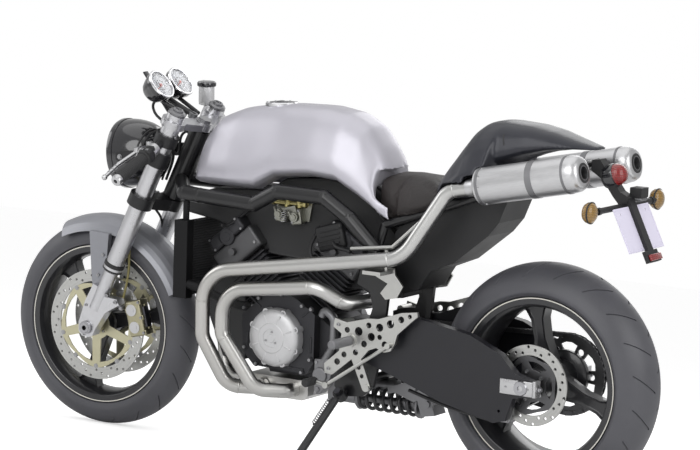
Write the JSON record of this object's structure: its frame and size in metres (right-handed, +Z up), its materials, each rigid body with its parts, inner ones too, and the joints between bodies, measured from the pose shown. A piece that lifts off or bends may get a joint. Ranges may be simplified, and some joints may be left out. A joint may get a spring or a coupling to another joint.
{
  "type": "cafe racer motorcycle",
  "caption": "Bare road motorcycle with low bars, hump-back single seat, twin high silencers and a V-twin engine, leaning on its side stand.",
  "frame": {"origin": "on the ground under the middle of the leaning motorcycle's overall box", "axes": "+X forward, +Y to the rider's left, +Z up; the motorcycle leans towards +Y"},
  "size_m": [2.0626, 0.6819, 1.0426],
  "materials": {
    "tyre": "matt, lightly grained",
    "wheel_black": "satin black",
    "disc_steel": "ground, ringed",
    "dark_steel": "dull",
    "fork_silver": "satin",
    "axle_steel": "machined",
    "black_metal": "satin black",
    "yoke_silver": "satin",
    "guard_grey": "dark metallic, lacquered",
    "caliper_metal": "cast, darkened",
    "lamp_black": "gloss black",
    "clock_black": "matt",
    "bar_black": "matt",
    "lever_silver": "polished",
    "tank_silver": "metallic, lacquered",
    "seat_brown": "soft, fine grain",
    "cowl_charcoal": "dark metallic, lacquered",
    "black_plastic": "matt",
    "radiator_black": "matt black",
    "engine_dark": "dark cast",
    "cover_silver": "cast, satin",
    "cover_grey": "cast, satin",
    "intake_metal": "cast",
    "exhaust_steel": "satin stainless",
    "silencer_metal": "brushed lengthways",
    "hanger_metal": "satin",
    "lens_amber": "clear amber",
    "plate_white": "pale"
  },
  "bodies": {
    "chassis": {"main_frame": "black_metal", "seat_subframe": "black_metal", "fuel_tank": "tank_silver", "seat": "seat_brown", "tail_cowl": "cowl_charcoal", "rear_mudguard": "black_plastic", "radiator": "radiator_black", "crankcase": "engine_dark", "left_engine_cover": "cover_silver", "right_engine_cover": "cover_grey", "cylinders": "engine_dark", "throttle_bodies": "intake_metal", "exhaust_collector": "exhaust_steel", "left_exhaust_pipe": "exhaust_steel", "right_exhaust_pipe": "exhaust_steel", "rear_header_pipe": "exhaust_steel", "front_header_pipe": "exhaust_steel", "exhaust_hangers": "hanger_metal", "silencers": "silencer_metal", "swingarm": "black_metal", "rear_axle": "axle_steel", "rear_caliper": "lever_silver", "rear_shock": "dark_steel", "drive_chain": "dark_steel", "left_footrest": "hanger_metal", "right_footrest": "hanger_metal", "tail_light_bracket": "black_plastic", "indicators": "lens_amber", "number_plate": "plate_white"},
    "front_end": {"front_axle": "axle_steel", "left_fork_leg": "fork_silver", "right_fork_leg": "fork_silver", "lower_yoke": "black_metal", "top_yoke": "yoke_silver", "front_mudguard": "guard_grey", "front_calipers": "caliper_metal", "headlight": "lamp_black", "headlight_bracket": "black_metal", "instruments": "clock_black", "left_handlebar": "bar_black", "right_handlebar": "bar_black", "clutch_lever": "lever_silver", "brake_lever": "lever_silver"},
    "front_wheel": {"front_rim": "wheel_black", "front_tyre": "tyre", "front_brake_discs": "disc_steel"},
    "rear_wheel": {"rear_rim": "wheel_black", "rear_tyre": "tyre", "rear_brake_disc": "disc_steel", "rear_sprocket": "dark_steel"},
    "stand": {"side_stand": "black_metal"}
  },
  "joints": [
    {"name": "steering", "type": "hinge", "parent": "chassis", "child": "front_end", "pos_m": [0.69985, -0.07304, 0.28313], "axis": [-0.4147, 0.1423, 0.8988], "range_deg": [-31, 25]},
    {"name": "front_wheel_spin", "type": "hinge", "parent": "front_end", "child": "front_wheel", "pos_m": [0.73166, -0.06896, 0.29716], "axis": [-0.0476, 0.9829, -0.1777], "continuous": true},
    {"name": "rear_wheel_spin", "type": "hinge", "parent": "chassis", "child": "rear_wheel", "pos_m": [-0.7163, -0.06842, 0.31228], "axis": [0, 0.9877, -0.1564], "continuous": true},
    {"name": "side_stand_fold", "type": "hinge", "parent": "chassis", "child": "stand", "pos_m": [-0.1563, 0.06778, 0.2006], "axis": [0, 0.8572, 0.515], "range_deg": [0, 95]}
  ]
}
